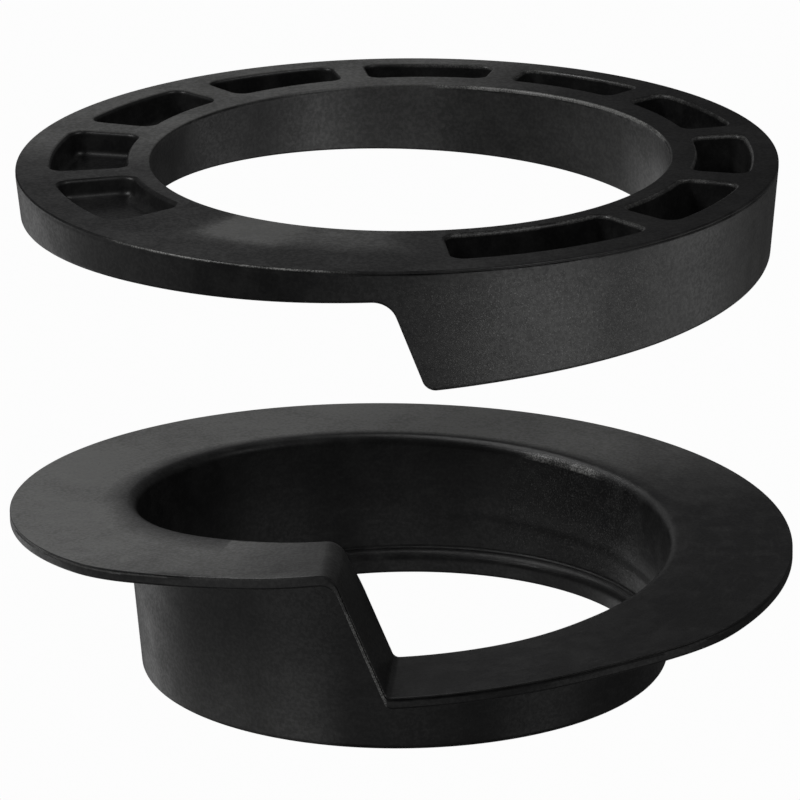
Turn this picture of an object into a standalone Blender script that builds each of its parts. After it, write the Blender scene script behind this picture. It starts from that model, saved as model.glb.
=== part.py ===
"""Upper and lower moulded rubber seats for the two ends of a coil spring.

The upper seat is a thick ring with a flat, pocketed top and a spiral underside of one turn.
The lower seat is a thin collar with a spiral flange of one turn. Each spiral ends in a
slanted step, the stop for the cut end of the spring. The two seats stand one above the
other on one axis, the way the spring holds them, with both steps at the front (-Y). The
origin is under the middle of the outline, AXIS_Y behind the axis on which both are drawn.

Run with: blender --background --python part.py
"""

import math

import bmesh
import bpy

MM = 0.001

# Place of the seats' common axis, in millimetres.
AXIS_Y = -1.57

# Lower seat: heights are over its base.
FLANGE_RADIUS = 75.0
FLANGE_THICKNESS = 2.4
FLANGE_LOW = 19.2
FLANGE_HIGH = 43.0
FLANGE_EVEN_SHARE = 0.64
FLANGE_LATE_POWER = 5
FLANGE_SWELL = 0.03
LOWER_STEP_FOOT_X = -3.2
LOWER_STEP_HEAD_X = -12.9
LOWER_FOOT_FILLET = 1.4
LOWER_HEAD_FILLET = 3.2
COLLAR_CENTRE = (0.3, 2.8)
COLLAR_BASE_RADIUS = 50.8
COLLAR_DRAFT = 0.075
COLLAR_BOTTOM_EDGE = 0.9
COLLAR_FILLET = 1.6
BORE_TOP_RADIUS = 51.0
BORE_LOW_RADIUS = 49.2
BORE_ROUNDOVER = 2.0
HEAD_ROUNDOVER = 6.0
FRONT_INSET = 3.7
FRONT_INSET_REACH = (-28.0, 30.0)
FRONT_INSET_FADE = 26.0
ROUNDOVER_START = -46.0
ROUNDOVER_FULL = -11.0
ROUNDOVER_FALL = 0.45
LIP_RADIUS = 46.7
LIP_HEIGHT = 4.6
LIP_EDGE = 0.5

# Upper seat: heights are below its flat top, which is SEAT_HEIGHT over the lower seat's base.
SEAT_HEIGHT = 100.6
RING_RADIUS = 71.8
RING_DRAFT = 0.08
RING_TOP_EDGE = 0.7
RING_BOTTOM_EDGE = 0.8
RING_THIN = 6.0
RING_THICK = 23.4
RING_EVEN_SHARE = 0.8
RING_LATE_POWER = 4
UPPER_STEP_FOOT_X = 4.6
UPPER_STEP_HEAD_X = -1.7
UPPER_FOOT_FILLET = 2.6
UPPER_HEAD_FILLET = 4.5
RING_BORE_CENTRE = (2.6, 2.8)
RING_BORE_RADIUS = 49.1
RING_BORE_EDGE = 0.5

# Moulded pockets in the upper seat: bearings are about the centre of their inner walls.
POCKET_INNER_CENTRE = (2.8, 4.2)
POCKET_INNER_RADIUS = 53.9
POCKET_OUTER_CENTRE = (0.8, 1.4)
POCKET_OUTER_RADIUS = 65.9
POCKET_CORNER = 2.4
POCKET_DRAFT = 0.07
POCKET_FLOOR = 4.4
POCKET_PITCH = 29.8
POCKET_SPAN = 23.5
POCKET_COUNT = 9
FIRST_POCKET = 57.2
LONG_POCKET_START = 5.8
LONG_POCKET_END = 39.7
CUTTER_OVERSHOOT = 2.0

# Where the stations stand round the turn. Bearings run counterclockwise from the front.
STATION_RADIUS = 60.0
STATIONS_ROUND = 66
FLAT_ZONE = 13.0
BLEND_ZONE = 30.0
ARC_SEGMENTS = 4
STEP_RUN_IN = 12.0
STEP_SKEW = 0.08
STEP_SKEW_RADIUS = 72.0

RUBBER = ("black_rubber", (0.012, 0.012, 0.013, 1.0), 0.62)


def clear_scene():
    for item in list(bpy.data.objects):
        bpy.data.objects.remove(item)


def smooth(value):
    """Ease from 0 to 1 with level ends."""
    value = min(1.0, max(0.0, value))
    return value * value * (3.0 - 2.0 * value)


def window(value, start, end, fade):
    """1 between two values, easing to 0 over a fade outside them."""
    return smooth((value - start) / fade + 1.0) * smooth((end - value) / fade + 1.0)


def flange_height(turn):
    """Top of the flange after a share of the turn from the step's foot: it climbs late."""
    late_share = 1.0 - FLANGE_EVEN_SHARE
    climb = FLANGE_EVEN_SHARE * turn + late_share * turn ** FLANGE_LATE_POWER
    climb += FLANGE_SWELL * math.sin(math.tau * turn)
    return FLANGE_LOW + (FLANGE_HIGH - FLANGE_LOW) * climb


def underside_height(turn):
    """Underside of the upper seat after a share of the turn: it climbs early."""
    left = 1.0 - turn
    sink = RING_EVEN_SHARE * left + (1.0 - RING_EVEN_SHARE) * left ** RING_LATE_POWER
    return -RING_THIN - (RING_THICK - RING_THIN) * sink


def fillet(before, corner, after, radius):
    """Points of an arc that rounds a corner between two straight stretches."""
    back = math.atan2(before[1] - corner[1], before[0] - corner[0])
    ahead = math.atan2(after[1] - corner[1], after[0] - corner[0])
    half = math.remainder(ahead - back, math.tau) / 2.0
    reach = radius / abs(math.sin(half))
    middle = back + half
    centre = (corner[0] + reach * math.cos(middle), corner[1] + reach * math.sin(middle))
    sweep = (math.pi - abs(2.0 * half)) * math.copysign(1.0, half)
    first = middle + math.pi + sweep / 2.0
    points = []
    for index in range(ARC_SEGMENTS + 1):
        angle = first - sweep * index / ARC_SEGMENTS
        points.append((centre[0] + radius * math.cos(angle), centre[1] + radius * math.sin(angle)))
    return points


def turn_share(bearing, foot_x, head_x):
    """Share of the spiral's turn between the step's foot and a bearing."""
    foot = math.degrees(foot_x / STATION_RADIUS)
    head = math.degrees(head_x / STATION_RADIUS) + 360.0
    return (bearing - foot) / (head - foot)


def spiral_stations(height_at, foot_x, head_x, foot_fillet, head_fillet):
    """Bearing and height of one turn, from the step's foot round to its head and down again."""
    foot = math.degrees(foot_x / STATION_RADIUS)
    head = math.degrees(head_x / STATION_RADIUS) + 360.0
    run_in = math.degrees(STEP_RUN_IN / STATION_RADIUS)

    def height(bearing):
        return height_at(turn_share(bearing, foot_x, head_x))

    stations = []
    for index in range(STATIONS_ROUND + 1):
        bearing = foot + run_in + (head - foot - 2.0 * run_in) * index / STATIONS_ROUND
        stations.append((bearing, height(bearing)))
    head_point = (head_x, height(head))
    foot_point = (foot_x, height(foot))
    run_to_head = (head_x - STEP_RUN_IN, height(head - run_in))
    run_from_foot = (foot_x + STEP_RUN_IN, height(foot + run_in))
    rounded = fillet(run_to_head, head_point, foot_point, head_fillet)
    rounded += fillet(head_point, foot_point, run_from_foot, foot_fillet)
    for x, z in rounded:
        stations.append((360.0 + math.degrees(x / STATION_RADIUS), z))
    return stations


def place(radius, bearing, centre):
    """Plan position on a circle. Near the step, a bearing is a line across, slightly skewed."""
    bearing = math.remainder(bearing, 360.0)
    turned = math.radians(bearing)
    spread = smooth((abs(bearing) - FLAT_ZONE) / BLEND_ZONE)
    if spread < 1.0:
        across = STATION_RADIUS * math.sin(turned) + STEP_SKEW * (STEP_SKEW_RADIUS - radius)
        level = math.asin((across - centre[0]) / radius)
        turned = level + spread * (turned - level)
    return centre[0] + radius * math.sin(turned), centre[1] - radius * math.cos(turned)


def quarter_turn(index):
    """Angle of one point of a quarter arc drawn with ARC_SEGMENTS pieces."""
    return math.pi / 2.0 * index / ARC_SEGMENTS


def rim_radius(bearing):
    """Outer radius of the flange: it is drawn in at the front."""
    return FLANGE_RADIUS - FRONT_INSET * window(bearing, *FRONT_INSET_REACH, FRONT_INSET_FADE)


def bore_roundover(bearing):
    """Radius of the bore's top edge: it widens up to the step's head and narrows down the step."""
    foot = math.degrees(LOWER_STEP_FOOT_X / STATION_RADIUS)
    head = math.degrees(LOWER_STEP_HEAD_X / STATION_RADIUS)
    if bearing > foot:
        return BORE_ROUNDOVER
    share = smooth((bearing - ROUNDOVER_START) / (ROUNDOVER_FULL - ROUNDOVER_START))
    share *= 1.0 - smooth((bearing - head) / ((foot - head) * ROUNDOVER_FALL))
    return BORE_ROUNDOVER + (HEAD_ROUNDOVER - BORE_ROUNDOVER) * share


def lower_outline(station):
    """Closed outline of the lower seat at one station, as plan radius, bearing, height, centre."""
    bearing, top = station
    under = top - FLANGE_THICKNESS
    rim = rim_radius(math.remainder(bearing, 360.0))
    roundover = bore_roundover(math.remainder(bearing, 360.0))
    points = []

    def collar(radius, height):
        points.append((radius, bearing, height, COLLAR_CENTRE))

    collar(LIP_RADIUS, 0.0)
    collar(LIP_RADIUS, LIP_HEIGHT - LIP_EDGE)
    collar(LIP_RADIUS + LIP_EDGE, LIP_HEIGHT)
    collar(BORE_LOW_RADIUS - LIP_EDGE, LIP_HEIGHT)
    collar(BORE_LOW_RADIUS, LIP_HEIGHT + LIP_EDGE)
    for index in range(ARC_SEGMENTS + 1):
        angle = quarter_turn(index)
        out = roundover * (1.0 - math.cos(angle))
        down = roundover * (1.0 - math.sin(angle))
        collar(BORE_TOP_RADIUS + out, top - down)
    half = FLANGE_THICKNESS / 2.0
    for index in range(2 * ARC_SEGMENTS + 1):
        angle = math.pi / 2.0 - quarter_turn(index)
        height = top - half + half * math.sin(angle)
        points.append((rim - half + half * math.cos(angle), bearing, height, (0.0, 0.0)))
    for index in range(ARC_SEGMENTS + 1):
        angle = quarter_turn(index)
        height = under - COLLAR_FILLET * (1.0 - math.cos(angle))
        wall = COLLAR_BASE_RADIUS + COLLAR_DRAFT * height
        collar(wall + COLLAR_FILLET * (1.0 - math.sin(angle)), height)
    edge = COLLAR_BOTTOM_EDGE
    collar(COLLAR_BASE_RADIUS, edge)
    collar(COLLAR_BASE_RADIUS - edge * 0.3, edge * 0.3)
    collar(COLLAR_BASE_RADIUS - edge, 0.0)
    return points


def upper_outline(station):
    """Closed outline of the upper seat at one station, as plan radius, bearing, height, centre."""
    bearing, under = station
    points = []

    def bore(radius, height):
        points.append((radius, bearing, height, RING_BORE_CENTRE))

    def ring(radius, height):
        points.append((radius, bearing, height, (0.0, 0.0)))

    bore(RING_BORE_RADIUS, -RING_BORE_EDGE)
    bore(RING_BORE_RADIUS + RING_BORE_EDGE, 0.0)
    ring(RING_RADIUS - RING_TOP_EDGE, 0.0)
    ring(RING_RADIUS - RING_TOP_EDGE * 0.3, -RING_TOP_EDGE * 0.3)
    ring(RING_RADIUS, -RING_TOP_EDGE)
    foot_radius = RING_RADIUS + RING_DRAFT * under
    ring(foot_radius, under + RING_BOTTOM_EDGE)
    ring(foot_radius - RING_BOTTOM_EDGE * 0.3, under + RING_BOTTOM_EDGE * 0.3)
    ring(foot_radius - RING_BOTTOM_EDGE, under)
    bore(RING_BORE_RADIUS + RING_BORE_EDGE, under)
    bore(RING_BORE_RADIUS, under + RING_BORE_EDGE)
    return points


def ring_mesh(name, outlines):
    """Closed ring of quads through a loop of closed outlines."""
    mesh = bpy.data.meshes.new(name)
    build = bmesh.new()
    loops = []
    for outline in outlines:
        loop = []
        for radius, bearing, height, centre in outline:
            x, y = place(radius, bearing, centre)
            loop.append(build.verts.new((x * MM, y * MM, height * MM)))
        loops.append(loop)
    for index, loop in enumerate(loops):
        ahead = loops[(index + 1) % len(loops)]
        for side in range(len(loop)):
            after = (side + 1) % len(loop)
            build.faces.new((loop[side], loop[after], ahead[after], ahead[side]))
    bmesh.ops.recalc_face_normals(build, faces=build.faces)
    build.to_mesh(mesh)
    build.free()
    return mesh


def rubber_material():
    name, colour, roughness = RUBBER
    material = bpy.data.materials.new(name)
    material.use_nodes = True
    shader = material.node_tree.nodes["Principled BSDF"]
    shader.inputs["Base Color"].default_value = colour
    shader.inputs["Roughness"].default_value = roughness
    shader.inputs["Metallic"].default_value = 0.0
    return material


def add_object(name, mesh, height, material=None):
    item = bpy.data.objects.new(name, mesh)
    item.location = (0.0, AXIS_Y * MM, height * MM)
    if material:
        mesh.materials.append(material)
    bpy.context.scene.collection.objects.link(item)
    return item


def pocket_point(along, across, start, end):
    """Plan position in a pocket: along its arc and across its width, both from 0 to 1."""
    turned = math.radians(start + (end - start) * along)
    step = (math.sin(turned), -math.cos(turned))
    inner = POCKET_INNER_RADIUS
    shift_x = POCKET_INNER_CENTRE[0] - POCKET_OUTER_CENTRE[0]
    shift_y = POCKET_INNER_CENTRE[1] - POCKET_OUTER_CENTRE[1]
    toward = shift_x * step[0] + shift_y * step[1]
    offset = math.hypot(shift_x, shift_y)
    outer = math.sqrt(POCKET_OUTER_RADIUS ** 2 - offset ** 2 + toward ** 2) - toward
    reach = inner + (outer - inner) * across
    return POCKET_INNER_CENTRE[0] + reach * step[0], POCKET_INNER_CENTRE[1] + reach * step[1]


def pocket_loop(start, end, inset):
    """Rounded outline of a pocket, drawn smaller by an inset."""
    middle = (POCKET_INNER_RADIUS + POCKET_OUTER_RADIUS) / 2.0
    length = math.radians(end - start) * middle
    width = POCKET_OUTER_RADIUS - POCKET_INNER_RADIUS
    corner = POCKET_CORNER
    points = []
    sides = ((1.0, 1.0, 0.0), (0.0, 1.0, 90.0), (0.0, 0.0, 180.0), (1.0, 0.0, 270.0))
    for right, up, first in sides:
        middle_x = (length - inset - corner) if right else (inset + corner)
        middle_y = (width - inset - corner) if up else (inset + corner)
        for index in range(ARC_SEGMENTS + 1):
            angle = math.radians(first) + quarter_turn(index)
            along = middle_x + corner * math.cos(angle)
            across = middle_y + corner * math.sin(angle)
            points.append(pocket_point(along / length, across / width, start, end))
        points += long_side(points[-1], first, length, width, inset, start, end)
    return points


def long_side(last, first, length, width, inset, start, end):
    """Extra points along the two curved sides of a pocket, so that they follow their arcs."""
    if first not in (0.0, 180.0):
        return []
    pieces = max(2, round((end - start) / 5.0))
    across = (width - inset) / width if first == 0.0 else inset / width
    near = (inset + POCKET_CORNER) / length
    points = []
    for index in range(1, pieces):
        share = index / pieces
        along = 1.0 - share if first == 0.0 else share
        along = near + (1.0 - 2.0 * near) * along
        points.append(pocket_point(along, across, start, end))
    return points


def pocket_spans():
    """Start and end bearing of every pocket: one long one, then evenly spaced ones."""
    spans = [(LONG_POCKET_START, LONG_POCKET_END)]
    for index in range(POCKET_COUNT):
        middle = FIRST_POCKET + POCKET_PITCH * index
        spans.append((middle - POCKET_SPAN / 2.0, middle + POCKET_SPAN / 2.0))
    return spans


def pocket_cutters():
    """One mesh with a tapered plug for every pocket."""
    mesh = bpy.data.meshes.new("pocket_cutters")
    build = bmesh.new()
    for start, end in pocket_spans():
        thin_side = turn_share(end, UPPER_STEP_FOOT_X, UPPER_STEP_HEAD_X)
        depth = -underside_height(thin_side) - POCKET_FLOOR
        levels = ((CUTTER_OVERSHOOT, -CUTTER_OVERSHOOT * POCKET_DRAFT), (-depth, depth * POCKET_DRAFT))
        loops = []
        for height, inset in levels:
            loop = pocket_loop(start, end, inset)
            loops.append([build.verts.new((x * MM, y * MM, height * MM)) for x, y in loop])
        upper, lower = loops
        count = len(upper)
        for index in range(count):
            after = (index + 1) % count
            build.faces.new((upper[index], upper[after], lower[after], lower[index]))
        build.faces.new(upper)
        build.faces.new(lower)
    bmesh.ops.recalc_face_normals(build, faces=build.faces)
    build.to_mesh(mesh)
    build.free()
    cutters = add_object("pocket_cutters", mesh, SEAT_HEIGHT)
    cutters.hide_render = True
    cutters.display_type = "WIRE"
    return cutters


def make_lower_seat(material):
    stations = spiral_stations(flange_height, LOWER_STEP_FOOT_X, LOWER_STEP_HEAD_X,
                               LOWER_FOOT_FILLET, LOWER_HEAD_FILLET)
    outlines = [lower_outline(station) for station in stations]
    return add_object("lower_spring_seat", ring_mesh("lower_spring_seat", outlines), 0.0, material)


def make_upper_seat(material):
    stations = spiral_stations(underside_height, UPPER_STEP_FOOT_X, UPPER_STEP_HEAD_X,
                               UPPER_FOOT_FILLET, UPPER_HEAD_FILLET)
    outlines = [upper_outline(station) for station in stations]
    mesh = ring_mesh("upper_spring_seat", outlines)
    seat = add_object("upper_spring_seat", mesh, SEAT_HEIGHT, material)
    pockets = seat.modifiers.new("pockets", "BOOLEAN")
    pockets.operation = "DIFFERENCE"
    pockets.solver = "EXACT"
    pockets.object = pocket_cutters()
    return seat


def main():
    clear_scene()
    material = rubber_material()
    make_lower_seat(material)
    make_upper_seat(material)


main()
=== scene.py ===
"""Looks for the pair of coil spring seats: detailed rubber mouldings, floor, lights and camera.

Both mouldings are built again here, finer than the CAD solids that they replace. They gain
rounded pocket rims and floors, parting grooves, flash, a crease and rubbed edges, and their
colour carries painted light, shade, highlights and glints. The driving dimensions are the same,
but for a flange 0.1 mm smaller in radius and the rounding of some edges.
"""

import math

import bmesh
import bpy
from mathutils import Matrix, Vector, noise


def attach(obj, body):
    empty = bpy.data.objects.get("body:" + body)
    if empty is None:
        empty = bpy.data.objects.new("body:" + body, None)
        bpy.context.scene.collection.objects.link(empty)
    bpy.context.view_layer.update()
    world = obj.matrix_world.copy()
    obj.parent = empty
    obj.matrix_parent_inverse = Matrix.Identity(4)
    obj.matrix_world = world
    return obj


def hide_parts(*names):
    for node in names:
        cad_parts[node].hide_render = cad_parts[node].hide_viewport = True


MM = 0.001

# Place of the seats' common axis, in millimetres.
AXIS_Y = -1.57

# Lower seat, in millimetres over its base. A reach or opening is a first bearing, a last one and
# the fade outside them, in degrees from the front towards the right. Wear is the same after its
# strength. An uneven share has the mean, swing, seed and scale of its noise. The roundover's
# start and full size are at bearings.
FLANGE_RADIUS = 74.9
FLANGE_THICKNESS = 2.4
RIM_TOP_EDGE = 0.18
RIM_LOW_EDGE = 0.6
RIM_GROOVE_DROP = 0.05
RIM_GROOVE_WIDTH = 0.6
RIM_GROOVE_DEPTH = 0.3
RIM_GROOVE_LEAST = 0.4
RIM_GROOVE_OPEN = (-75.0, 60.0, 25.0)
RIM_GROOVE_WEAR = (0.9, -30.0, -18.0, 9.0)
RIM_GROOVE_UNEVEN = (0.8, 0.4, 5.0, 9.0)
FLANGE_LOW = 19.2
FLANGE_HIGH = 43.0
FLANGE_EVEN_SHARE = 0.64
FLANGE_LATE_POWER = 5
FLANGE_SWELL = 0.03
LOWER_STEP_FOOT_X = -3.2
LOWER_STEP_HEAD_X = -12.9
LOWER_FOOT_FILLET = 1.4
LOWER_HEAD_FILLET = 3.2
COLLAR_CENTRE = (0.3, 2.8)
COLLAR_BASE_RADIUS = 50.8
COLLAR_DRAFT = 0.075
COLLAR_BOTTOM_EDGE = 1.1
COLLAR_FILLET = 1.6
COLLAR_CLEARANCE = 4.8
BORE_TOP_RADIUS = 51.0
BORE_LOW_RADIUS = 49.2
BORE_ROUNDOVER = 2.0
HEAD_ROUNDOVER = 6.0
FRONT_INSET = 3.7
FRONT_INSET_REACH = (-28.0, 30.0, 26.0)
ROUNDOVER_START = -46.0
ROUNDOVER_FULL = -11.0
ROUNDOVER_FALL = 0.45
LIP_RADIUS = 46.7
LIP_HEIGHT = 4.6
LIP_ROUND = 2.2
LIP_FILLET = 0.6
CREASE_DROP = 15.5
CREASE_DEPTH = 0.16
CREASE_EDGE = 0.5
CREASE_FADE = 4.0
CREASE_SPREAD = 1.4

# Upper seat, in millimetres below its flat top, which is SEAT_HEIGHT over the lower seat's base.
SEAT_HEIGHT = 100.6
RING_RADIUS = 71.8
RING_DRAFT = 0.08
RING_TOP_EDGE = 0.35
RING_BOTTOM_EDGE = 0.8
RING_THIN = 6.0
RING_THICK = 23.4
RING_EVEN_SHARE = 0.8
RING_LATE_POWER = 4
UPPER_STEP_FOOT_X = 4.6
UPPER_STEP_HEAD_X = -1.7
UPPER_FOOT_FILLET = 2.6
UPPER_HEAD_FILLET = 4.5
RING_BORE_CENTRE = (2.6, 2.8)
RING_BORE_RADIUS = 49.1
RING_BORE_EDGE = 0.5
GROOVE_WIDTH = 0.5
GROOVE_DEPTH = 0.25
GROOVE_DROP = 0.4
GROOVE_LEAST = 0.35
GROOVE_OPEN = (0.0, 62.0, 12.0)
GROOVE_UNEVEN = (0.8, 0.4, 7.0, 8.0)
FLASH_DEPTH = 0.25
FLASH_HALF_HEIGHT = 0.25
FLASH_LEAST = 0.12
FLASH_REACH = (98.0, 158.0, 20.0)
FLASH_UNEVEN = (0.75, 0.5, 3.0, 30.0)

# Pockets of the upper seat; bearings are about the centre of their inner walls, in degrees.
POCKET_INNER_CENTRE = (2.8, 4.2)
POCKET_INNER_RADIUS = 53.9
POCKET_OUTER_CENTRE = (0.8, 1.4)
POCKET_OUTER_RADIUS = 65.9
POCKET_CORNER = 2.4
POCKET_LEAST_CORNER = 0.8
POCKET_DRAFT = 0.07
POCKET_FLOOR = 4.4
POCKET_RIM = 0.8
POCKET_RIM_START = 12.0
POCKET_FLOOR_FILLET = 1.3
POCKET_PITCH = 29.8
POCKET_SPAN = 23.5
POCKET_COUNT = 9
FIRST_POCKET = 57.2
LONG_POCKET = (5.8, 39.7)
CUTTER_OVERSHOOT = 0.5

# Layout and fineness of the mouldings: millimetres, zones in degrees and counts of pieces.
STATION_RADIUS = 60.0
STATIONS_ROUND = 420
STEP_ARC = 10
STEP_WALL = 10
STEP_RUN_IN = 12.0
STEP_SKEW = 0.08
STEP_SKEW_RADIUS = 72.0
FLAT_ZONE = 13.0
BLEND_ZONE = 30.0
EDGE_ARC = 6
ROUNDOVER_ARC = 8
WALL_ROWS = 24
COLLAR_ROWS = 12
FLANGE_ROWS = 9
RING_ROWS = 14
TOP_ROWS = 7
LONG_SIDE_STEP = 2.0
MERGE_DISTANCE = 0.003
SHARP_ANGLE = math.radians(38.0)

# Camera: a long lens in front of the object, looking slightly down. Place in metres, angles in
# radians, sensor and focal length in millimetres.
CAMERA_DISTANCE = 1.2
CAMERA_HEIGHT = 0.45008
CAMERA_PITCH = 0.3197
CAMERA_ROLL = -0.0129
SENSOR_WIDTH = 36.0
FOCAL_LENGTH = 298.5
CLIP_END = 30.0

# Rubber's colours: clean; pale, for dust and for painted light and glints; and worn, which
# also paints highlights.
DARK_RUBBER = (0.0075, 0.0075, 0.008, 1.0)
DUST_AND_PAINTED_LIGHT_RUBBER = (0.17, 0.17, 0.166, 1.0)
WORN_AND_HIGHLIT_RUBBER = (0.36, 0.36, 0.35, 1.0)

# Noise in the rubber's skin, coarse to fine: cells per metre, detail and roughness. The streaks
# are stretched: their cells are per metre outwards, per radian round the axis and per metre up.
CLOUD_NOISE = (55.0, 4.0, 0.6)
PATCH_NOISE = (190.0, 3.0, 0.6)
GRAIN_NOISE = (1500.0, 2.0, 0.6)
PINPRICK_NOISE = (3600.0, 1.0, 0.5)
STREAK_NOISE = (1.0, 3.0, 0.6)
STREAK_CELLS = (1600.0, 14.0, 900.0)
SEED_SHIFT = (1.0, 0.7, 0.3)

# Each seat's skin: seed in metres, strength of the streaks and of the mottle.
LOWER_SKIN = (0.13, 0.08, 0.05)
UPPER_SKIN = (0.41, 0.03, 0.06)

# Ramps from a noise to what it drives: noise from and to, then the result from and to where that
# isn't 0 to 1.
WEAR_AND_HIGHLIGHT_BY_PATCH = (0.35, 0.55, 0.25, 1.0)
WEAR_AND_GLINT_BY_PINPRICK = (0.42, 0.62, 0.35, 1.7)
SPARK_BY_PINPRICK = (0.56, 0.7)
PAINTED_LIGHT_BY_CLOUD = (0.3, 0.65, 0.5, 0.74)
PAINTED_LIGHT_BY_GRAIN = (0.35, 0.65, 0.84, 1.14)
PAINTED_LIGHT_BY_STREAK = (0.35, 0.65, 0.9, 1.08)
DUST_BY_CLOUD = (0.4, 0.68)
DUST_BY_STREAK = (0.5, 0.75)
DUST_BY_PATCH = (0.42, 0.66)
DUST_BY_GRAIN = (0.4, 0.66)
ROUGH_BY_CLOUD = (0.3, 0.7, 0.42, 0.35)
ROUGH_BY_PATCH = (0.35, 0.65, -0.03, 0.03)
ROUGH_BY_GRAIN = (0.35, 0.65, 0.05, -0.05)

# Amounts of dust, painted glint, polish and relief from each pattern, and the depth of the relief
# in metres.
SPARK_PAINTED_GLINT = 0.5
GRAIN_DUST = 0.06
SPARK_POLISH = 0.2
GRAIN_RELIEF = 0.5
PINPRICK_RELIEF = 0.3
STREAK_RELIEF = 2.0
SPARK_RELIEF = 0.6
BUMP_STRENGTH = 0.25
BUMP_DISTANCE = 0.0001

# Limits of the marked places: how far each reaches from a radius or a top, in millimetres, and
# the step's half angle in degrees.
EDGE_DEPTH = (0.02, 0.75)
TOP_DEPTH = 0.1
RING_EDGE_WIDTH = 0.65
RING_WALL_WIDTH = 3.0
RING_WALL_DEPTH = 2.0
BORE_EDGE_WIDTH = 0.6
BORE_WALL_WIDTH = 0.2
RIM_WIDTH = 0.1
RIM_EDGE_WIDTH = 1.6
MOUTH_WIDTH = 1.6
MOUTH_DEPTH = 2.6
COLLAR_WALL = (-0.2, 3.0)
STEP_HALF_ANGLE = 20.0

# Marks where the rubber is rubbed, speckled, lightened by painted light, highlights and glints,
# or, with a strength below 0, darkened by painted shade: strength, first and last bearing and
# fade, in degrees, or heights in millimetres for the step.
# The bore's edge has a strength alone and is rubbed all round. A band (depth below the top),
# heights or radii limit a mark further: first, last and fade in millimetres.
# The ring's edge is rubbed and has a painted highlight; the pocket rims have painted highlights.
RING_EDGE_RUBBED_AND_HIGHLIT = (0.8, -40.0, -14.0, 9.0)
RING_EDGE_BAND = (0.0, 0.3, 0.1)
BORE_EDGE_RUBBED = 0.05
FLASH_RUBBED = (1.6, 112.0, 160.0, 14.0)
POCKET_RIM_HIGHLIGHT = (0.2, 15.0, 165.0, 25.0)
# The step's rim has a painted highlight, the flange's rim scuffs and a painted highlight, and the
# mouth a painted glint.
STEP_RIM_HIGHLIGHT = (0.5, 17.0, 38.0, 3.0)
RIM_SCUFF_AND_HIGHLIGHT = (0.1, -30.0, -17.0, 5.0)
RIM_SCUFF_AND_HIGHLIGHT_BAND = (0.0, 0.7, 0.3)
MOUTH_GLINT = (1.1, 138.0, 148.0, 6.0)
MOUTH_GLINT_BAND = (0.8, 1.6, 0.4)
RING_WALL_SPECKLED = (1.0, 8.0, 34.0, 14.0)
RING_WALL_SPECKLED_BAND = (4.0, 30.0, 3.0)
MOUTH_SPECKLED = (1.0, 120.0, 150.0, 10.0)
MOUTH_SPECKLED_RADII = (49.5, 52.6, 0.6)
# Painted light on the upper seat's wall, bore and top, and painted shade on the top's sides.
RING_WALL_PAINTED_LIGHT = (0.32, 14.0, 110.0, 16.0)
RING_BORE_PAINTED_LIGHT = (0.35, 112.0, 200.0, 18.0)
SECTOR_PAINTED_LIGHT = (1.1, -32.0, -8.0, 12.0)
SECTOR_PAINTED_LIGHT_RADII = (48.0, 57.0, 8.0)
WEDGE_PAINTED_LIGHT = (0.9, -36.0, -24.0, 6.0)
WEDGE_PAINTED_LIGHT_RADII = (48.0, 61.0, 5.0)
RING_BACK_PAINTED_LIGHT = (1.2, 175.0, 248.0, 30.0)
RING_LEFT_PAINTED_SHADE = (-0.06, -80.0, -50.0, 8.0)
RING_RIGHT_PAINTED_SHADE = (-0.06, 25.0, 115.0, 20.0)
# Painted light on the lower flange's left and back and on its collar; painted shade on its right.
FLANGE_PAINTED_LIGHT = (1.5, 172.0, 290.0, 75.0)
FLANGE_PAINTED_SHADE = (-0.05, 15.0, 125.0, 25.0)
COLLAR_PAINTED_LIGHT = (0.55, -70.0, -22.0, 12.0)
COLLAR_PAINTED_LIGHT_HEIGHTS = (0.0, 8.0, 16.0)

# Surroundings, in metres.
FLOOR_SIZE = 12.0
FLOOR_DROP = 0.0005
PALE = (0.98, 0.98, 0.98, 1.0)
AMBIENT = (1.0, 1.0, 1.0, 1.0)
AMBIENT_STRENGTH = 0.05
LIGHT_TARGET = (0.0, 0.0, 0.06)

# Softboxes: name, seats they light, bearing (0 is the camera's side, 90 the right), height
# angle, distance and width in metres, and power in watts.
SOFTBOXES = (
    ("key", "both", 288.0, 45.0, 1.0, 0.3, 2.4),
    ("left_bounce", "both", 225.0, -20.0, 1.0, 0.7, 0.67),
    ("side_bounce", "both", 272.0, -20.0, 1.0, 0.7, 0.25),
    ("upper_front_bounce", "upper", 0.0, -20.0, 1.0, 0.7, 0.45),
    ("upper_right_bounce", "upper", 45.0, -20.0, 1.0, 0.7, 1.36),
    ("upper_side_bounce", "upper", 95.0, -20.0, 1.0, 0.7, 0.8),
    ("upper_back", "upper", 190.0, 17.0, 0.6, 0.3, 0.035),
    ("upper_top", "upper", 55.0, 54.0, 1.0, 0.5, 1.2),
    ("lower_front_bounce", "lower", 0.0, -20.0, 1.0, 0.7, 0.35),
    ("lower_left_bounce", "lower", 315.0, -20.0, 1.0, 0.7, 0.5),
    ("lower_right_bounce", "lower", 60.0, -20.0, 1.0, 0.7, 0.42),
    ("lower_back", "lower", 186.0, 8.0, 1.0, 0.5, 0.03),
    ("lower_back_near", "lower", 205.0, 18.0, 0.35, 0.2, 0.02),
    ("lower_side", "lower", 80.0, 35.0, 1.0, 0.5, 0.35),
    ("lower_top", "lower", 225.0, 65.0, 1.0, 0.9, 2.8),
)


# ---------------------------------------------------------------- curves shared by both seats

def smooth(value):
    """Ease from 0 to 1 with level ends."""
    value = min(1.0, max(0.0, value))
    return value * value * (3.0 - 2.0 * value)


def window(value, start, end, fade):
    """1 between two values, easing to 0 over a fade outside them."""
    return smooth((value - start) / fade + 1.0) * smooth((end - value) / fade + 1.0)


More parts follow.
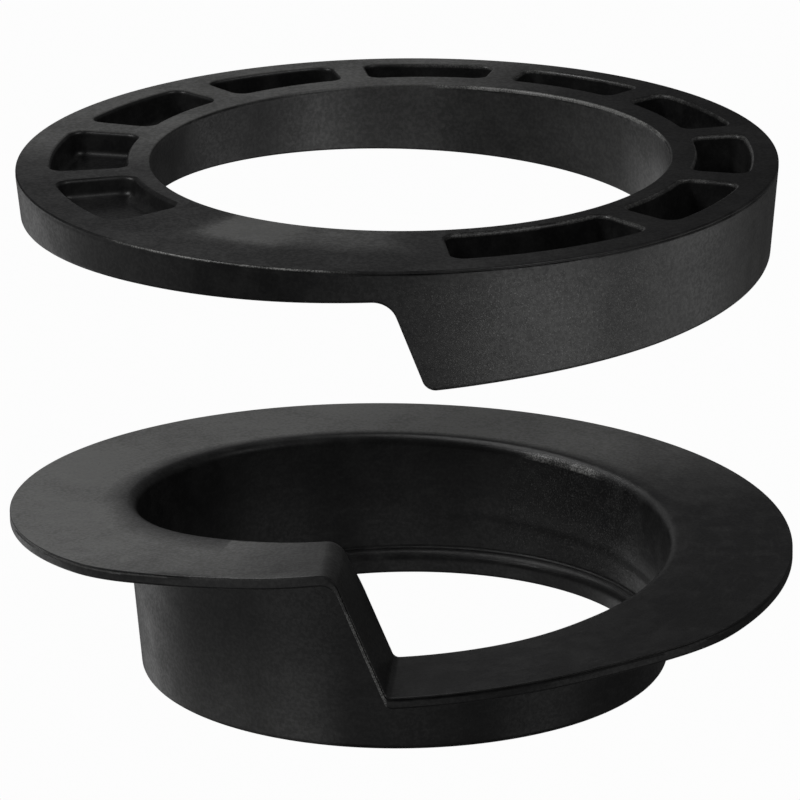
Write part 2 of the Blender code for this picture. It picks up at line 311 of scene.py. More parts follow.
def mark(value, strength, start, end, fade):
    """A strength between two values, easing to 0 over a fade outside them."""
    return strength * window(value, start, end, fade)


def flange_height(turn):
    """Top of the flange after a share of the turn from the step's foot: it climbs late."""
    late_share = 1.0 - FLANGE_EVEN_SHARE
    climb = FLANGE_EVEN_SHARE * turn + late_share * turn ** FLANGE_LATE_POWER
    climb += FLANGE_SWELL * math.sin(math.tau * turn)
    return FLANGE_LOW + (FLANGE_HIGH - FLANGE_LOW) * climb


def underside_height(turn):
    """Underside of the upper seat after a share of the turn: it climbs early."""
    left = 1.0 - turn
    sink = RING_EVEN_SHARE * left + (1.0 - RING_EVEN_SHARE) * left ** RING_LATE_POWER
    return -RING_THIN - (RING_THICK - RING_THIN) * sink


def turn_share(bearing, foot_x, head_x):
    """Share of the spiral's turn between the step's foot and a bearing."""
    foot = math.degrees(foot_x / STATION_RADIUS)
    head = math.degrees(head_x / STATION_RADIUS) + 360.0
    return (bearing - foot) / (head - foot)


def fillet(before, corner, after, radius):
    """Points of an arc that rounds a corner between two straight stretches."""
    back = math.atan2(before[1] - corner[1], before[0] - corner[0])
    ahead = math.atan2(after[1] - corner[1], after[0] - corner[0])
    half = math.remainder(ahead - back, math.tau) / 2.0
    reach = radius / abs(math.sin(half))
    middle = back + half
    centre = (corner[0] + reach * math.cos(middle), corner[1] + reach * math.sin(middle))
    sweep = (math.pi - abs(2.0 * half)) * math.copysign(1.0, half)
    first = math.degrees(middle + math.pi + sweep / 2.0)
    return arc(centre, radius, first, first - math.degrees(sweep), STEP_ARC)


def arc(centre, radius, first, last, pieces=EDGE_ARC):
    """Points of an arc between two angles in degrees, ends included."""
    points = []
    for index in range(pieces + 1):
        angle = math.radians(first + (last - first) * index / pieces)
        points.append((centre[0] + radius * math.cos(angle), centre[1] + radius * math.sin(angle)))
    return points


def between(start, end, pieces):
    """Points strictly between two points."""
    points = []
    for index in range(1, pieces):
        share = index / pieces
        points.append(tuple(a + (b - a) * share for a, b in zip(start, end)))
    return points


def groove(radius, top, width, depth):
    """Points (out, up) of a shallow V groove in an upright outer wall."""
    return [(radius, top), (radius - depth, top - width / 2.0), (radius, top - width)]


def uneven(bearing, mean, swing, seed, scale):
    """Share that wanders round the turn by noise, and is the same at both ends of it."""
    turned = math.radians(bearing)
    spot = Vector((math.sin(turned) * scale, math.cos(turned) * scale, seed))
    return mean + swing * noise.noise(spot)


# ---------------------------------------------------------------- swept rings

def spiral_stations(height_at, foot_x, head_x, foot_fillet, head_fillet):
    """Bearing and height of one turn, from the step's foot round to its head and down again."""
    foot = math.degrees(foot_x / STATION_RADIUS)
    head = math.degrees(head_x / STATION_RADIUS) + 360.0
    run_in = math.degrees(STEP_RUN_IN / STATION_RADIUS)

    def height(bearing):
        return height_at(turn_share(bearing, foot_x, head_x))

    stations = []
    for index in range(STATIONS_ROUND + 1):
        bearing = foot + run_in + (head - foot - 2.0 * run_in) * index / STATIONS_ROUND
        stations.append((bearing, height(bearing)))
    run_to_head = (head_x - STEP_RUN_IN, height(head - run_in))
    run_from_foot = (foot_x + STEP_RUN_IN, height(foot + run_in))
    head_point = (head_x, height(head))
    foot_point = (foot_x, height(foot))
    head_arc = fillet(run_to_head, head_point, foot_point, head_fillet)
    foot_arc = fillet(head_point, foot_point, run_from_foot, foot_fillet)
    path = between(run_to_head, head_arc[0], STEP_WALL) + head_arc
    path += between(head_arc[-1], foot_arc[0], STEP_WALL) + foot_arc
    path += between(foot_arc[-1], run_from_foot, STEP_WALL)
    for x, z in path:
        stations.append((360.0 + math.degrees(x / STATION_RADIUS), z))
    return stations


def place(radius, bearing, centre):
    """Plan position on a circle. Near the step, a bearing is a line across, slightly skewed."""
    bearing = math.remainder(bearing, 360.0)
    turned = math.radians(bearing)
    spread = smooth((abs(bearing) - FLAT_ZONE) / BLEND_ZONE)
    if spread < 1.0:
        across = STATION_RADIUS * math.sin(turned) + STEP_SKEW * (STEP_SKEW_RADIUS - radius)
        level = math.asin((across - centre[0]) / radius)
        turned = level + spread * (turned - level)
    return centre[0] + radius * math.sin(turned), centre[1] - radius * math.cos(turned)


def ring_mesh(name, outlines, lift=0.0):
    """Closed ring of quads through a loop of closed outlines, raised by a lift."""
    mesh = bpy.data.meshes.new(name)
    build = bmesh.new()
    loops = []
    for outline in outlines:
        loop = []
        for radius, bearing, height, centre in outline:
            x, y = place(radius, bearing, centre)
            loop.append(build.verts.new((x * MM, y * MM, (height + lift) * MM)))
        loops.append(loop)
    for index, loop in enumerate(loops):
        ahead = loops[(index + 1) % len(loops)]
        for side in range(len(loop)):
            after = (side + 1) % len(loop)
            build.faces.new((loop[side], loop[after], ahead[after], ahead[side]))
    bmesh.ops.recalc_face_normals(build, faces=build.faces)
    build.to_mesh(mesh)
    build.free()
    return mesh


def add_object(name, mesh):
    item = bpy.data.objects.new(name, mesh)
    item.location.y = AXIS_Y * MM
    bpy.context.scene.collection.objects.link(item)
    return item


def finish_surface(item, material):
    """Smooth shading with creases only at sharp edges, and normals that keep flat faces flat."""
    build = bmesh.new()
    build.from_mesh(item.data)
    bmesh.ops.remove_doubles(build, verts=build.verts, dist=MERGE_DISTANCE * MM)
    for face in build.faces:
        face.smooth = True
    for edge in build.edges:
        if len(edge.link_faces) == 2:
            edge.smooth = edge.calc_face_angle() < SHARP_ANGLE
    build.to_mesh(item.data)
    build.free()
    item.data.materials.clear()
    item.data.materials.append(material)
    weighted = item.modifiers.new("weighted_normals", "WEIGHTED_NORMAL")
    weighted.keep_sharp = True


# ---------------------------------------------------------------- lower seat

def crease_shift(above, bearing):
    """Outward shift of the bore's wall just above its crease, strongest on the right."""
    right = smooth(math.sin(math.radians(bearing)) * CREASE_SPREAD)
    edge = smooth(above / CREASE_EDGE + 0.5)
    return CREASE_DEPTH * right * edge * (1.0 - smooth(above / CREASE_FADE))


def bore_wall(low, high, bearing, crease_height):
    """Points (out, up) of the bore's wall between lip and roundover, with a faint crease."""
    points = []
    for radius, height in between(low, high, WALL_ROWS):
        points.append((radius + crease_shift(height - crease_height, bearing), height))
    return points


def lower_rim_radius(bearing):
    """Outer radius of the flange: it is drawn in at the front."""
    return FLANGE_RADIUS - FRONT_INSET * window(bearing, *FRONT_INSET_REACH)


def bore_roundover(bearing):
    """Radius of the bore's top edge: it widens up to the step's head and narrows down the step."""
    foot = math.degrees(LOWER_STEP_FOOT_X / STATION_RADIUS)
    head = math.degrees(LOWER_STEP_HEAD_X / STATION_RADIUS)
    if bearing > foot:
        return BORE_ROUNDOVER
    share = smooth((bearing - ROUNDOVER_START) / (ROUNDOVER_FULL - ROUNDOVER_START))
    share *= 1.0 - smooth((bearing - head) / ((foot - head) * ROUNDOVER_FALL))
    return BORE_ROUNDOVER + (HEAD_ROUNDOVER - BORE_ROUNDOVER) * share


def rim_groove_share(bearing):
    """How open the groove under the rim's top edge is: least where the rim is worn."""
    side = RIM_GROOVE_LEAST + mark(bearing, 1.0 - RIM_GROOVE_LEAST, *RIM_GROOVE_OPEN)
    left = 1.0 - mark(bearing, *RIM_GROOVE_WEAR)
    return side * left * uneven(bearing, *RIM_GROOVE_UNEVEN)


def lower_outline(station):
    """Closed outline of the lower seat at one station, as plan radius, bearing, height, centre."""
    bearing, top = station
    front = math.remainder(bearing, 360.0)
    under = top - FLANGE_THICKNESS
    rounding = bore_roundover(front)

    bore = arc((LIP_RADIUS + LIP_FILLET, LIP_FILLET), LIP_FILLET, 270.0, 180.0)
    bore += arc((LIP_RADIUS + LIP_ROUND, LIP_HEIGHT - LIP_ROUND), LIP_ROUND, 180.0, 90.0)
    bore += arc((BORE_LOW_RADIUS - LIP_FILLET, LIP_HEIGHT + LIP_FILLET), LIP_FILLET, 270.0, 360.0)
    shoulder = (BORE_TOP_RADIUS, top - rounding)
    bore += bore_wall(bore[-1], shoulder, bearing, top - CREASE_DROP)
    over = (BORE_TOP_RADIUS + rounding, top - rounding)
    bore += arc(over, rounding, 180.0, 90.0, ROUNDOVER_ARC)

    edge = lower_rim_radius(front)
    groove_top = top - RIM_TOP_EDGE - RIM_GROOVE_DROP
    rim = arc((edge - RIM_TOP_EDGE, top - RIM_TOP_EDGE), RIM_TOP_EDGE, 90.0, 0.0)
    rim += groove(edge, groove_top, RIM_GROOVE_WIDTH, RIM_GROOVE_DEPTH * rim_groove_share(front))
    rim += arc((edge - RIM_LOW_EDGE, under + RIM_LOW_EDGE), RIM_LOW_EDGE, 0.0, -90.0)

    neck = COLLAR_BASE_RADIUS + COLLAR_DRAFT * (under - COLLAR_FILLET) + COLLAR_FILLET
    root = arc((neck, under - COLLAR_FILLET), COLLAR_FILLET, 90.0, 180.0)
    toe_edge = COLLAR_BOTTOM_EDGE
    toe = arc((COLLAR_BASE_RADIUS - toe_edge, toe_edge), toe_edge, 0.0, -90.0)
    collar = root + between(root[-1], toe[0], COLLAR_ROWS) + toe

    flange = between((over[0] + COLLAR_CENTRE[1], top), rim[0], FLANGE_ROWS) + rim
    flange += between(rim[-1], (neck + COLLAR_CLEARANCE, under), FLANGE_ROWS)
    points = [(radius, bearing, height, COLLAR_CENTRE) for radius, height in bore]
    points += [(radius, bearing, height, (0.0, 0.0)) for radius, height in flange]
    points += [(radius, bearing, height, COLLAR_CENTRE) for radius, height in collar]
    return points


def make_lower_seat():
    stations = spiral_stations(flange_height, LOWER_STEP_FOOT_X, LOWER_STEP_HEAD_X,
                               LOWER_FOOT_FILLET, LOWER_HEAD_FILLET)
    outlines = [lower_outline(station) for station in stations]
    return add_object("lower_seat_rubber", ring_mesh("lower_seat_rubber", outlines))


# ---------------------------------------------------------------- upper seat

def upper_outline(station):
    """Closed outline of the upper seat at one station, as plan radius, bearing, height, centre."""
    bearing, under = station
    edge = RING_BORE_EDGE
    flash = FLASH_DEPTH * flash_share(bearing)
    bore = arc((RING_BORE_RADIUS + edge, under + edge), edge, 270.0, 180.0)
    bore += between(bore[-1], (RING_BORE_RADIUS, -edge - 2.0 * FLASH_HALF_HEIGHT), RING_ROWS)
    bore.append((RING_BORE_RADIUS, -edge - 2.0 * FLASH_HALF_HEIGHT))
    bore.append((RING_BORE_RADIUS - flash, -edge - FLASH_HALF_HEIGHT))
    bore += arc((RING_BORE_RADIUS + edge - flash, -edge), edge, 180.0, 90.0)
    points = [(radius, bearing, height, RING_BORE_CENTRE) for radius, height in bore]

    top_start = (RING_BORE_RADIUS + RING_BORE_CENTRE[1] + edge, 0.0)
    depth = GROOVE_DEPTH * groove_share(bearing)
    ring = arc((RING_RADIUS - RING_TOP_EDGE, -RING_TOP_EDGE), RING_TOP_EDGE, 90.0, 0.0)
    ring += groove(RING_RADIUS, -GROOVE_DROP, GROOVE_WIDTH, depth)
    foot = RING_RADIUS + RING_DRAFT * under
    low_edge = RING_BOTTOM_EDGE
    toe = arc((foot - low_edge, under + low_edge), low_edge, 0.0, -90.0)
    ring += between(ring[-1], toe[0], RING_ROWS) + toe
    ring = between(top_start, ring[0], TOP_ROWS) + ring
    points += [(radius, bearing, height, (0.0, 0.0)) for radius, height in ring]
    return points


def flash_share(bearing):
    """How far the torn flash stands into the bore, most at the back right."""
    bearing %= 360.0
    strength = FLASH_LEAST + window(bearing, *FLASH_REACH)
    return min(1.0, strength) * uneven(bearing, *FLASH_UNEVEN)


def groove_share(bearing):
    """How open the parting groove is, most at the front right."""
    bearing = math.remainder(bearing, 360.0)
    strength = GROOVE_LEAST + window(bearing, *GROOVE_OPEN)
    return min(1.0, strength) * uneven(bearing, *GROOVE_UNEVEN)


def pocket_point(along, across, start, end):
    """Plan position in a pocket: along its arc and across its width, both from 0 to 1."""
    turned = math.radians(start + (end - start) * along)
    step = (math.sin(turned), -math.cos(turned))
    inner = POCKET_INNER_RADIUS
    shift_x = POCKET_INNER_CENTRE[0] - POCKET_OUTER_CENTRE[0]
    shift_y = POCKET_INNER_CENTRE[1] - POCKET_OUTER_CENTRE[1]
    toward = shift_x * step[0] + shift_y * step[1]
    offset = math.hypot(shift_x, shift_y)
    outer = math.sqrt(POCKET_OUTER_RADIUS ** 2 - offset ** 2 + toward ** 2) - toward
    reach = inner + (outer - inner) * across
    return POCKET_INNER_CENTRE[0] + reach * step[0], POCKET_INNER_CENTRE[1] + reach * step[1]


def pocket_loop(start, end, inset):
    """Rounded outline of a pocket, drawn smaller by an inset."""
    length = math.radians(end - start) * (POCKET_INNER_RADIUS + POCKET_OUTER_RADIUS) / 2.0
    width = POCKET_OUTER_RADIUS - POCKET_INNER_RADIUS
    corner = max(POCKET_LEAST_CORNER, POCKET_CORNER - inset)
    near = inset + corner
    side_pieces = round((end - start) / LONG_SIDE_STEP)
    line = []
    for right, up, first in ((True, True, 0.0), (False, True, 90.0),
                             (False, False, 180.0), (True, False, 270.0)):
        middle = (length - near if right else near, width - near if up else near)
        rounded = arc(middle, corner, first, first + 90.0)
        if right != up:
            line += between(line[-1], rounded[0], side_pieces)
        line += rounded
    return [pocket_point(along / length, across / width, start, end) for along, across in line]


def pocket_spans():
    """Start and end bearing of every pocket: one long one, then evenly spaced ones."""
    spans = [LONG_POCKET]
    for index in range(POCKET_COUNT):
        middle = FIRST_POCKET + POCKET_PITCH * index
        spans.append((middle - POCKET_SPAN / 2.0, middle + POCKET_SPAN / 2.0))
    return spans


def pocket_levels(depth):
    """Inset and height down a pocket: rounded rim, drafted wall, then filleted floor."""
    rim = arc((-POCKET_RIM, -POCKET_RIM), POCKET_RIM, 90.0 - POCKET_RIM_START, 0.0)
    rounded = POCKET_FLOOR_FILLET
    inset = depth * POCKET_DRAFT
    floor = arc((inset + rounded, rounded - depth), rounded, 180.0, 270.0)
    return [(rim[0][0], CUTTER_OVERSHOOT)] + rim + floor


def add_plug(build, start, end):
    """Add the tapered plug that moulds one pocket."""
    thin_side = turn_share(end, UPPER_STEP_FOOT_X, UPPER_STEP_HEAD_X)
    depth = -underside_height(thin_side) - POCKET_FLOOR
    loops = []
    for inset, height in pocket_levels(depth):
        level = (height + SEAT_HEIGHT) * MM
        loop = pocket_loop(start, end, inset)
        loops.append([build.verts.new((x * MM, y * MM, level)) for x, y in loop])
    count = len(loops[0])
    for upper, lower in zip(loops, loops[1:]):
        for index in range(count):
            after = (index + 1) % count
            build.faces.new((upper[index], upper[after], lower[after], lower[index]))
    build.faces.new(loops[0])
    build.faces.new(loops[-1])


def pocket_cutters():
    mesh = bpy.data.meshes.new("pocket_cutters")
    build = bmesh.new()
    for start, end in pocket_spans():
        add_plug(build, start, end)
    bmesh.ops.recalc_face_normals(build, faces=build.faces)
    build.to_mesh(mesh)
    build.free()
    return add_object("pocket_cutters", mesh)


def make_upper_seat():
    stations = spiral_stations(underside_height, UPPER_STEP_FOOT_X, UPPER_STEP_HEAD_X,
                               UPPER_FOOT_FILLET, UPPER_HEAD_FILLET)
    outlines = [upper_outline(station) for station in stations]
    seat = add_object("upper_seat_rubber", ring_mesh("upper_seat_rubber", outlines, SEAT_HEIGHT))
    cutters = pocket_cutters()
    pockets = seat.modifiers.new("pockets", "BOOLEAN")
    pockets.operation = "DIFFERENCE"
    pockets.solver = "EXACT"
    pockets.object = cutters
    evaluated = seat.evaluated_get(bpy.context.evaluated_depsgraph_get())
    cut = bpy.data.meshes.new_from_object(evaluated)
    seat.modifiers.clear()
    seat.data = cut
    bpy.data.objects.remove(cutters)
    return seat


# ---------------------------------------------------------------- rubber

def paint(item, name, share_at):
    """Store a mask on the mesh: 0 is bare rubber, 1 fully covered, below 0 painted shade."""
    mask = item.data.attributes.new(name, "FLOAT", "POINT")
    values = [share_at(point.co / MM) for point in item.data.vertices]
    mask.data.foreach_set("value", values)


def polar(point, centre=(0.0, 0.0)):
    """Plan radius and bearing of a point about a centre."""
    x = point.x - centre[0]
    y = point.y - centre[1]
    return math.hypot(x, y), math.degrees(math.atan2(x, -y))


def upper_rubbed_and_highlit(point):
    """Paler places of the upper seat: the outer edge, rubbed and with a painted highlight,
    the bore's worn flash, and painted highlights on the pocket rims.
    """
    radius, bearing = polar(point)
    bore_radius, _ = polar(point, RING_BORE_CENTRE)
    depth = SEAT_HEIGHT - point.z
    if not EDGE_DEPTH[0] < depth < EDGE_DEPTH[1]:
        return 0.0
    if radius > RING_RADIUS - RING_EDGE_WIDTH:
        return mark(bearing, *RING_EDGE_RUBBED_AND_HIGHLIT) * window(depth, *RING_EDGE_BAND)
    if bore_radius < RING_BORE_RADIUS + BORE_EDGE_WIDTH:
        return BORE_EDGE_RUBBED + mark(bearing, *FLASH_RUBBED)
    return mark(bearing, *POCKET_RIM_HIGHLIGHT)


def upper_speckled(point):
    """Sparkling grain on the outer wall at the front right: polish, bump and painted glints."""
    radius, bearing = polar(point)
    depth = SEAT_HEIGHT - point.z
    if radius < RING_RADIUS - RING_WALL_WIDTH or depth < RING_WALL_DEPTH:
        return 0.0
    return mark(bearing, *RING_WALL_SPECKLED) * window(depth, *RING_WALL_SPECKLED_BAND)


def lower_rubbed_and_highlit(point):
    """Paler places of the lower seat: a painted highlight on the step's rim, scuffs and a painted
    highlight on the flange's rim, and a painted glint on the mouth.
    """
    radius, bearing = polar(point)
    bore_radius, _ = polar(point, COLLAR_CENTRE)
    slope = turn_share(bearing % 360.0, LOWER_STEP_FOOT_X, LOWER_STEP_HEAD_X)
    below = flange_height(min(1.0, max(0.0, slope))) - point.z
    rim_radius = lower_rim_radius(bearing)
    in_front = abs(bearing) < STEP_HALF_ANGLE
    on_step = in_front and LOWER_STEP_HEAD_X < point.x < LOWER_STEP_FOOT_X
    if on_step and radius > rim_radius - RIM_WIDTH:
        return mark(point.z, *STEP_RIM_HIGHLIGHT)
    if radius > rim_radius - RIM_EDGE_WIDTH and below > EDGE_DEPTH[0]:
        return mark(bearing, *RIM_SCUFF_AND_HIGHLIGHT) * window(below, *RIM_SCUFF_AND_HIGHLIGHT_BAND)
    if bore_radius < BORE_TOP_RADIUS + MOUTH_WIDTH and EDGE_DEPTH[0] < below < MOUTH_DEPTH:
        return mark(bearing, *MOUTH_GLINT) * window(below, *MOUTH_GLINT_BAND)
    return 0.0


def lower_speckled(point):
    """Sparkling grain along the mouth at the back right: polish, bump and painted glints."""
    bore_radius, bearing = polar(point, COLLAR_CENTRE)
    return mark(bearing, *MOUTH_SPECKLED) * window(bore_radius, *MOUTH_SPECKLED_RADII)


def upper_painted_light(point):
    """Painted light on the upper seat's wall, bore and top; painted shade on the top's sides."""
    radius, bearing = polar(point)
    bore_radius, bore_bearing = polar(point, RING_BORE_CENTRE)
    depth = SEAT_HEIGHT - point.z
    if radius > RING_RADIUS - RING_WALL_WIDTH and depth > GROOVE_DROP + GROOVE_WIDTH:
        return mark(bearing, *RING_WALL_PAINTED_LIGHT)
    if bore_radius < RING_BORE_RADIUS + BORE_WALL_WIDTH:
        return mark(bore_bearing % 360.0, *RING_BORE_PAINTED_LIGHT)
    if depth < TOP_DEPTH:
        sector = mark(bearing, *SECTOR_PAINTED_LIGHT) * window(bore_radius, *SECTOR_PAINTED_LIGHT_RADII)
        wedge = mark(bearing, *WEDGE_PAINTED_LIGHT) * window(bore_radius, *WEDGE_PAINTED_LIGHT_RADII)
        back = mark(bearing % 360.0, *RING_BACK_PAINTED_LIGHT)
        painted_shade = mark(bearing, *RING_LEFT_PAINTED_SHADE) + mark(bearing, *RING_RIGHT_PAINTED_SHADE)
        return sector + wedge + back + painted_shade
    return 0.0


def lower_painted_light(point):
    """Painted light on the lower seat's flange and collar, painted shade on the flange's right."""
    radius, bearing = polar(point)
    bore_radius, _ = polar(point, COLLAR_CENTRE)
    if bore_radius > COLLAR_BASE_RADIUS + COLLAR_WALL[1]:
        if radius > lower_rim_radius(bearing) - RIM_WIDTH:
            return 0.0
        return mark(bearing % 360.0, *FLANGE_PAINTED_LIGHT) + mark(bearing, *FLANGE_PAINTED_SHADE)
    if bore_radius > COLLAR_BASE_RADIUS + COLLAR_WALL[0]:
        return mark(bearing, *COLLAR_PAINTED_LIGHT) * window(point.z, *COLLAR_PAINTED_LIGHT_HEIGHTS)
    return 0.0


class Nodes:
    """Short way to add and wire shader nodes in one tree."""

    def __init__(self, material):
        material.use_nodes = True
        self.tree = material.node_tree
        self.column = 0

    def add(self, kind, settings=None, **inputs):
        node = self.tree.nodes.new(kind)
        self.column += 1
        node.location = (-220.0 * (self.column % 8), -260.0 * (self.column // 8))
        for key, value in (settings or {}).items():
            setattr(node, key, value)
        for key, value in inputs.items():
            self.set(node.inputs[key.replace("_", " ")], value)
        return node

    def set(self, socket, value):
        if isinstance(value, bpy.types.NodeSocket):
            self.tree.links.new(value, socket)
        else:
            socket.default_value = value

    def math(self, operation, *values):
        node = self.add("ShaderNodeMath", {"operation": operation})
        for socket, value in zip(node.inputs, values):
            self.set(socket, value)
        return node.outputs[0]

    def noise(self, vector, scale, detail, roughness):
        node = self.add("ShaderNodeTexNoise", Vector=vector, Scale=scale, Detail=detail,
                        Roughness=roughness)
        return node.outputs["Fac"]

    def ramp(self, value, low, high, out_low=0.0, out_high=1.0):
        """Map a value between two limits to two others, clamped."""
        node = self.add("ShaderNodeMapRange", {"interpolation_type": "SMOOTHSTEP"}, Value=value,
                        From_Min=low, From_Max=high, To_Min=out_low, To_Max=out_high)
        return node.outputs["Result"]

    def mix(self, factor, first, second):
        node = self.add("ShaderNodeMix", {"data_type": "RGBA", "clamp_factor": True})
        for key, value in (("Factor", factor), ("A", first), ("B", second)):
            self.set(node.inputs[key], value)
        return node.outputs["Result"]

    def mask(self, name):
        return self.add("ShaderNodeAttribute", {"attribute_name": name}).outputs["Fac"]


def tangential_grain(nodes, position):
    """Fine streaks that run round the axis."""
    split = nodes.add("ShaderNodeSeparateXYZ", Vector=position)
    x, y, z = split.outputs
    radius = nodes.math("SQRT", nodes.math("ADD", nodes.math("MULTIPLY", x, x),
                                           nodes.math("MULTIPLY", y, y)))
    turned = nodes.math("ARCTAN2", x, y)
    scaled = [nodes.math("MULTIPLY", part, scale)
              for part, scale in zip((radius, turned, z), STREAK_CELLS)]
    wrapped = nodes.add("ShaderNodeCombineXYZ", X=scaled[0], Y=scaled[1], Z=scaled[2])
    return nodes.noise(wrapped.outputs["Vector"], *STREAK_NOISE)


def rubber(name, seed, streaks, mottle):
    """Satin black rubber: mottled skin, fine grain, round streaks, wear, painted light and shade,
    and painted highlights and glints.
    """
    material = bpy.data.materials.new(name)
    nodes = Nodes(material)
    shader = nodes.tree.nodes["Principled BSDF"]
    place_on_seat = nodes.add("ShaderNodeTexCoord").outputs["Object"]
    shifted = nodes.add("ShaderNodeVectorMath", {"operation": "ADD"})
    nodes.set(shifted.inputs[0], place_on_seat)
    nodes.set(shifted.inputs[1], tuple(seed * share for share in SEED_SHIFT))
    position = shifted.outputs["Vector"]
    cloud = nodes.noise(position, *CLOUD_NOISE)
    patch = nodes.noise(position, *PATCH_NOISE)
    grain = nodes.noise(position, *GRAIN_NOISE)
    pinprick = nodes.noise(position, *PINPRICK_NOISE)
    streak = tangential_grain(nodes, place_on_seat)

    # Rubbed places, painted highlights and painted glints, paled towards the worn colour.
    worn_and_highlit = nodes.math("MULTIPLY", nodes.mask("rubbed_and_highlight"), nodes.ramp(patch, *WEAR_AND_HIGHLIGHT_BY_PATCH))
    worn_and_highlit = nodes.math("MULTIPLY", worn_and_highlit, nodes.ramp(pinprick, *WEAR_AND_GLINT_BY_PINPRICK))
    # Speckled places: polish and relief, and pale painted glints in the colour.
    sparkle = nodes.ramp(pinprick, *SPARK_BY_PINPRICK)
    spark = nodes.math("MULTIPLY", nodes.mask("speckled"), sparkle)
    # Painted light and shade, broken up by the rubber's cloud, grain and streaks.
    painted_light = nodes.mask("painted_light")
    for pattern, limits in ((cloud, PAINTED_LIGHT_BY_CLOUD), (grain, PAINTED_LIGHT_BY_GRAIN),
                            (streak, PAINTED_LIGHT_BY_STREAK)):
        painted_light = nodes.math("MULTIPLY", painted_light, nodes.ramp(pattern, *limits))

    # The pale colour takes dust and mottle, and also the painted light, shade and glints.
    dust_and_painted_light = nodes.math("MULTIPLY", nodes.ramp(cloud, *DUST_BY_CLOUD), mottle)
    for cover, amount in ((nodes.ramp(streak, *DUST_BY_STREAK), streaks), (painted_light, 1.0),
                          (spark, SPARK_PAINTED_GLINT), (nodes.ramp(patch, *DUST_BY_PATCH), mottle),
                          (nodes.ramp(grain, *DUST_BY_GRAIN), GRAIN_DUST)):
        dust_and_painted_light = nodes.math("ADD", dust_and_painted_light, nodes.math("MULTIPLY", cover, amount))
    colour = nodes.mix(dust_and_painted_light, DARK_RUBBER, DUST_AND_PAINTED_LIGHT_RUBBER)
    nodes.set(shader.inputs["Base Color"], nodes.mix(worn_and_highlit, colour, WORN_AND_HIGHLIT_RUBBER))

    rough = nodes.ramp(cloud, *ROUGH_BY_CLOUD)
    for pattern, limits in ((patch, ROUGH_BY_PATCH), (grain, ROUGH_BY_GRAIN)):
        rough = nodes.math("ADD", rough, nodes.ramp(pattern, *limits))
    rough = nodes.math("SUBTRACT", rough, nodes.math("MULTIPLY", spark, SPARK_POLISH))
    nodes.set(shader.inputs["Roughness"], rough)

    height = nodes.math("MULTIPLY", grain, GRAIN_RELIEF)
    for pattern, relief in ((pinprick, PINPRICK_RELIEF), (streak, streaks * STREAK_RELIEF),
                            (spark, SPARK_RELIEF)):
        height = nodes.math("ADD", height, nodes.math("MULTIPLY", pattern, relief))
    bump = nodes.add("ShaderNodeBump", Height=height, Strength=BUMP_STRENGTH,
                     Distance=BUMP_DISTANCE)
    nodes.set(shader.inputs["Normal"], bump.outputs["Normal"])
    return material


# ---------------------------------------------------------------- surroundings

def make_camera():
    lens = bpy.data.cameras.new("camera")
    lens.sensor_width = SENSOR_WIDTH
    lens.lens = FOCAL_LENGTH
    lens.clip_end = CLIP_END
    camera = bpy.data.objects.new("camera", lens)
    camera.matrix_world = (Matrix.Translation((0.0, AXIS_Y * MM - CAMERA_DISTANCE, CAMERA_HEIGHT))
                           @ Matrix.Rotation(math.pi / 2.0 - CAMERA_PITCH, 4, "X")
                           @ Matrix.Rotation(CAMERA_ROLL, 4, "Z"))
    bpy.context.scene.collection.objects.link(camera)
    bpy.context.scene.camera = camera


def make_floor():
    """Pale floor that glows evenly, so that it shows no shadow and lights nothing."""
    mesh = bpy.data.meshes.new("floor")
    half = FLOOR_SIZE / 2.0
    corners = [(-half, -half, 0.0), (half, -half, 0.0), (half, half, 0.0), (-half, half, 0.0)]
    mesh.from_pydata(corners, [], [(0, 1, 2, 3)])
    floor = add_object("floor", mesh)
    floor.location.z = -FLOOR_DROP
    material = bpy.data.materials.new("pale_floor")
    nodes = Nodes(material)
    nodes.tree.nodes.remove(nodes.tree.nodes["Principled BSDF"])
    glow = nodes.add("ShaderNodeEmission", Color=PALE, Strength=1.0)
    output = nodes.tree.nodes["Material Output"]
    nodes.set(output.inputs["Surface"], glow.outputs["Emission"])
    mesh.materials.append(material)
    for ray in ("diffuse", "glossy", "transmission", "shadow"):
        setattr(floor, f"visible_{ray}", False)


def make_world():
    """Dim even light from all round; what the camera sees of it is as pale as the floor."""
    world = bpy.data.worlds.new("studio")
    bpy.context.scene.world = world
    world.use_nodes = True
    tree = world.node_tree
    tree.nodes.clear()
    seen = tree.nodes.new("ShaderNodeLightPath")
    dim = tree.nodes.new("ShaderNodeBackground")
    dim.inputs["Color"].default_value = AMBIENT
    dim.inputs["Strength"].default_value = AMBIENT_STRENGTH
    pale = tree.nodes.new("ShaderNodeBackground")
    pale.inputs["Color"].default_value = PALE
    mix = tree.nodes.new("ShaderNodeMixShader")
    output = tree.nodes.new("ShaderNodeOutputWorld")
    tree.links.new(seen.outputs["Is Camera Ray"], mix.inputs[0])
    tree.links.new(dim.outputs[0], mix.inputs[1])
    tree.links.new(pale.outputs[0], mix.inputs[2])
    tree.links.new(mix.outputs[0], output.inputs["Surface"])


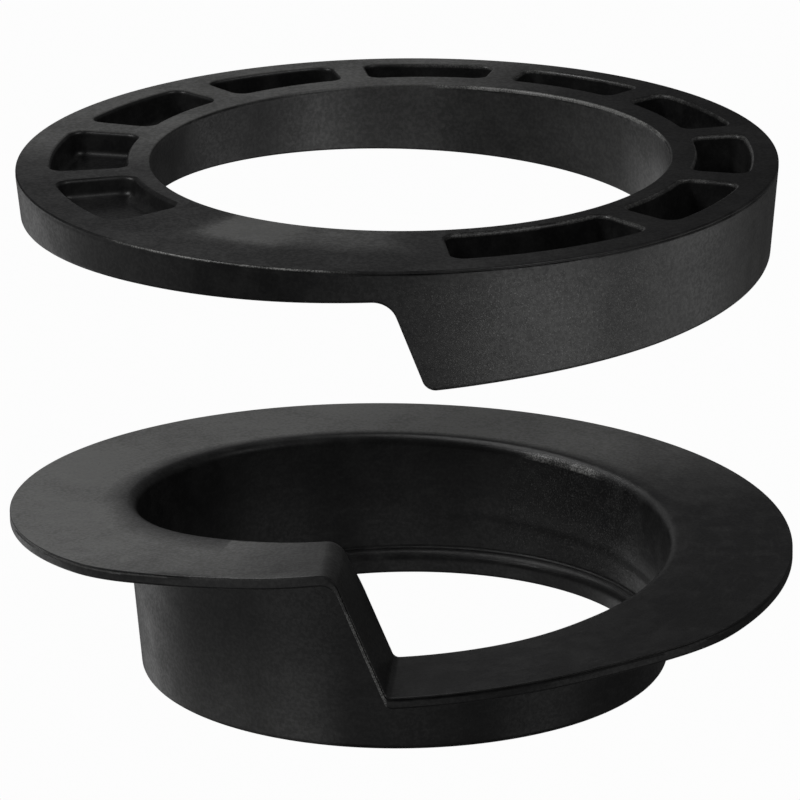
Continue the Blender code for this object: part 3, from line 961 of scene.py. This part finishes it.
def add_softbox(name, bearing, elevation, distance, width, power, seats):
    """Round area light that faces the object. Named seats are the only ones it lights."""
    light = bpy.data.lights.new(name, "AREA")
    light.shape = "DISK"
    light.size = width
    light.energy = power
    turned = math.radians(bearing)
    risen = math.radians(elevation)
    target = Vector(LIGHT_TARGET)
    out = Vector((math.sin(turned) * math.cos(risen), -math.cos(turned) * math.cos(risen),
                  math.sin(risen)))
    item = bpy.data.objects.new(name, light)
    item.location = target + out * distance
    item.rotation_euler = out.to_track_quat("Z", "Y").to_euler()
    item.visible_camera = False
    bpy.context.scene.collection.objects.link(item)
    if seats:
        lit = bpy.data.collections.new(name + "_seats")
        for seat in seats:
            lit.objects.link(seat)
        item.light_linking.receiver_collection = lit
        item.light_linking.blocker_collection = lit


# ---------------------------------------------------------------- the scene

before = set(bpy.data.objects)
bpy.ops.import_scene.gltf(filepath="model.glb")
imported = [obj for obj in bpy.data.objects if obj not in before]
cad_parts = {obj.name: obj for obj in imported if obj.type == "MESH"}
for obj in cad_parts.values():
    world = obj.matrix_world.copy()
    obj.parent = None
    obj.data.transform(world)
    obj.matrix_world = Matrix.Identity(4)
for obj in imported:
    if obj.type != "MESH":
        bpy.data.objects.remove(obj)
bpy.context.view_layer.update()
bpy.context.scene.view_settings.view_transform = "Standard"

lower_seat = make_lower_seat()
upper_seat = make_upper_seat()
finish_surface(lower_seat, rubber("lower_rubber", *LOWER_SKIN))
finish_surface(upper_seat, rubber("upper_rubber", *UPPER_SKIN))
paint(lower_seat, "rubbed_and_highlight", lower_rubbed_and_highlit)
paint(lower_seat, "speckled", lower_speckled)
paint(lower_seat, "painted_light", lower_painted_light)
paint(upper_seat, "rubbed_and_highlight", upper_rubbed_and_highlit)
paint(upper_seat, "speckled", upper_speckled)
paint(upper_seat, "painted_light", upper_painted_light)

for seat, body, node in ((lower_seat, "lower_seat", "lower_spring_seat"),
                         (upper_seat, "upper_seat", "upper_spring_seat")):
    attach(seat, body)
    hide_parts(node)

make_floor()
make_world()
make_camera()
lit_seats = {"both": (), "upper": (upper_seat,), "lower": (lower_seat,)}
for box_name, seats_lit, *setting in SOFTBOXES:
    add_softbox(box_name, *setting, lit_seats[seats_lit])
